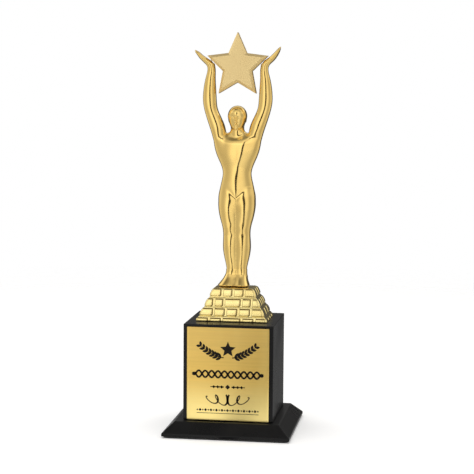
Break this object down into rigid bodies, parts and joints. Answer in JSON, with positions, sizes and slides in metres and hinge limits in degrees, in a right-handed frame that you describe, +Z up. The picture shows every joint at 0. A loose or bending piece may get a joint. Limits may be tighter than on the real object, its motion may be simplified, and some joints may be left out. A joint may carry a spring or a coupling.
{
  "type": "star trophy",
  "caption": "Award trophy: a gilded standing figure holds a star overhead, on a stepped brick pedestal, a black block with a brushed plate and a bevelled plinth.",
  "frame": {"origin": "centre of the felt pad's underside, on the surface that the trophy stands on", "axes": "+Z up along the trophy, front of the figure and the plate towards -Y, +X to the right as seen from the front"},
  "size_m": [0.097, 0.097, 0.3048],
  "materials": {
    "gilt_casting": "polished gold plating on a casting",
    "brushed_gold_plate": "brushed gold sheet metal",
    "black_lacquer": "satin black lacquer on board",
    "felt": "matte felt",
    "foam_tape": "foam tape",
    "zinc_steel": "zinc plated",
    "brass_insert": "machined"
  },
  "bodies": {
    "root": {"felt_pad": "felt", "plinth_board": "black_lacquer", "base_block": "black_lacquer", "name_plaque": "brushed_gold_plate", "plaque_adhesive": "foam_tape", "brick_pedestal": "gilt_casting", "figure": "gilt_casting", "star": "gilt_casting", "star_pin_left": "zinc_steel", "star_pin_right": "zinc_steel", "tie_rod": "zinc_steel", "tie_rod_nut": "zinc_steel", "tie_rod_washer": "zinc_steel", "threaded_insert": "brass_insert", "base_screw_1": "zinc_steel", "base_screw_2": "zinc_steel", "base_screw_3": "zinc_steel", "base_screw_4": "zinc_steel", "locating_pin_left": "zinc_steel", "locating_pin_right": "zinc_steel", "figure_screw_left": "zinc_steel", "figure_screw_right": "zinc_steel"}
  },
  "joints": []
}
